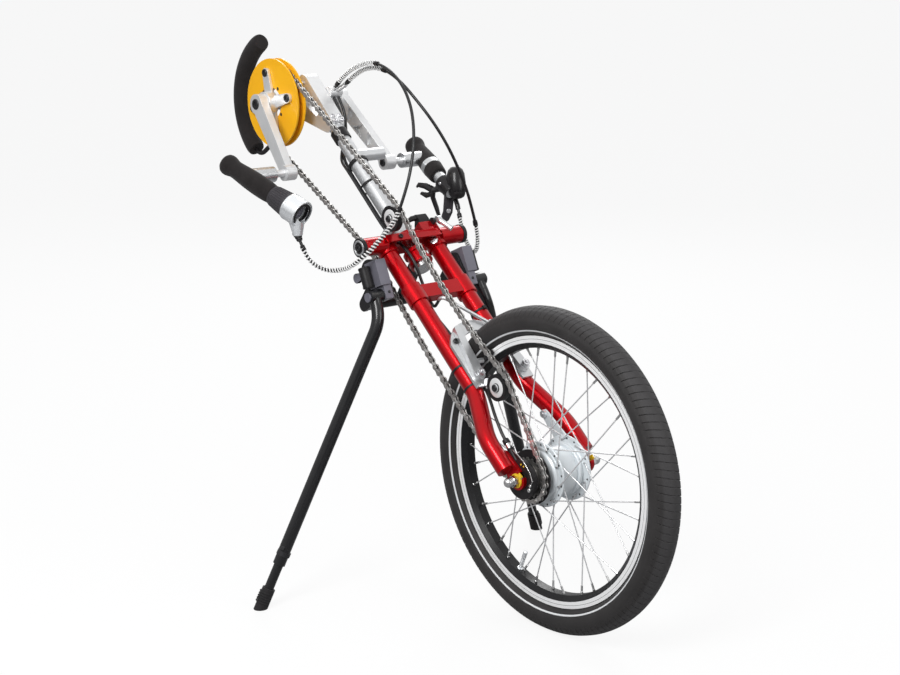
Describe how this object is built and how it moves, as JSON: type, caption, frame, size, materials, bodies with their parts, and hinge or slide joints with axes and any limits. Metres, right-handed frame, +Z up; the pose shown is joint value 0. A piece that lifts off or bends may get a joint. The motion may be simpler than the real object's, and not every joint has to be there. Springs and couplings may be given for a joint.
{
  "type": "handcycle drive attachment",
  "caption": "Clip-on handcycle front unit: a wheel in a twin-tube fork, hand cranks with chain drive on a boom, docking clamps and two folding stand legs.",
  "frame": {"origin": "on the floor straight under the wheel's axle, at the tyre's contact", "axes": "+X to the rider's left, -Y forward, +Z up"},
  "size_m": [0.621, 1.0228, 0.879],
  "materials": {
    "tyre": "matt black road tyre",
    "rim": "black rim with bare brake tracks",
    "hub": "satin grey",
    "spoke": "bright wire",
    "steel": "plain steel",
    "chain": "oiled steel",
    "red_paint": "gloss deep red",
    "silver_alloy": "satin silver",
    "crank_alloy": "satin silver",
    "black_plastic": "matt black",
    "black_metal": "satin black",
    "black_foam": "soft matt foam",
    "grey_plastic": "mid grey",
    "black_rubber": "matt rubber",
    "golden_plate": "satin golden yellow",
    "yellow_zinc": "yellow zinc",
    "cable_black": "matt black"
  },
  "bodies": {
    "dock": {"head_tube": "red_paint", "dock_frame": "black_metal", "dock_blocks_upper": "grey_plastic", "dock_blocks_lower": "grey_plastic", "docking_tubes": "black_metal", "dock_levers": "grey_plastic"},
    "fork": {"wheel_axle": "steel", "chain": "chain", "idler_rollers": "black_plastic", "idler_brackets": "silver_alloy", "lower_crown": "red_paint", "upper_crown": "red_paint", "steerer": "steel", "boom": "silver_alloy", "crank_head": "silver_alloy", "guard_foam": "black_foam", "guard_rod": "steel", "cable_clamp": "black_metal", "shift_cable": "cable_black", "brake_cable": "cable_black", "crown_caps": "black_plastic", "fork_legs": "red_paint", "perforated_strip": "silver_alloy", "held_cables": "cable_black", "brake_plate": "silver_alloy", "brake_arms": "silver_alloy", "brake_pads": "black_rubber", "axle_washers": "yellow_zinc", "axle_nuts": "steel", "gear_joint_ring": "black_plastic", "reaction_arm": "silver_alloy", "boom_rings": "black_metal", "lock_cam": "black_plastic", "lock_lever": "silver_alloy"},
    "wheel": {"tyre": "tyre", "rim": "rim", "hub_shell": "hub", "spokes": "spoke"},
    "sprocket": {"sprocket": "steel", "sprocket_disc": "black_plastic"},
    "crank": {"crank_axle": "steel", "crank_arm_left": "crank_alloy", "crank_arm_right": "crank_alloy", "handle_pins": "steel", "guard_discs": "golden_plate", "spider": "crank_alloy", "chainring": "steel"},
    "handle_right": {"handle_bar_right": "black_plastic", "handle_foam_right": "black_foam", "shifter_twist_ring": "black_rubber", "shifter_housing": "black_plastic"},
    "handle_left": {"handle_bar_left": "black_plastic", "handle_foam_left": "black_foam", "brake_lever": "black_metal"},
    "stand_left": {"stand_leg_left": "black_metal", "stand_inner_left": "steel", "stand_tip_left": "black_rubber"},
    "stand_right": {"stand_leg_right": "black_metal", "stand_inner_right": "steel", "stand_tip_right": "black_rubber"}
  },
  "joints": [
    {"name": "steering", "type": "hinge", "parent": "dock", "child": "fork", "pos_m": [0, 0.30097, 0.51748], "axis": [0, 0.7524, 0.6587], "range_deg": [-25, 25], "deforming": ["shift_cable", "brake_cable"]},
    {"name": "wheel_spin", "type": "hinge", "parent": "fork", "child": "wheel", "pos_m": [0, 0, 0.254], "axis": [1, 0, 0], "continuous": true},
    {"name": "crank_spin", "type": "hinge", "parent": "fork", "child": "crank", "pos_m": [0, 0.64234, 0.76516], "axis": [1, 0, 0], "continuous": true, "deforming": ["shift_cable", "brake_cable"]},
    {"name": "sprocket_spin", "type": "hinge", "parent": "fork", "child": "sprocket", "pos_m": [0, 0, 0.254], "axis": [1, 0, 0], "continuous": true},
    {"name": "handle_right_spin", "type": "hinge", "parent": "crank", "child": "handle_right", "pos_m": [-0.15, 0.53353, 0.66191], "axis": [1, 0, 0], "continuous": true, "deforming": ["shift_cable", "brake_cable"]},
    {"name": "handle_left_spin", "type": "hinge", "parent": "crank", "child": "handle_left", "pos_m": [0.15, 0.53353, 0.66191], "axis": [1, 0, 0], "continuous": true, "deforming": ["shift_cable", "brake_cable"]},
    {"name": "stand_left_fold", "type": "hinge", "parent": "dock", "child": "stand_left", "pos_m": [0.107, 0.29922, 0.49084], "axis": [-1, 0, 0], "range_deg": [0, 75]},
    {"name": "stand_right_fold", "type": "hinge", "parent": "dock", "child": "stand_right", "pos_m": [-0.107, 0.29922, 0.49084], "axis": [-1, 0, 0], "range_deg": [0, 75]}
  ],
  "couplings": [
    {"joint": "sprocket_spin", "follows": "crank_spin", "ratio": 1.7778}
  ]
}
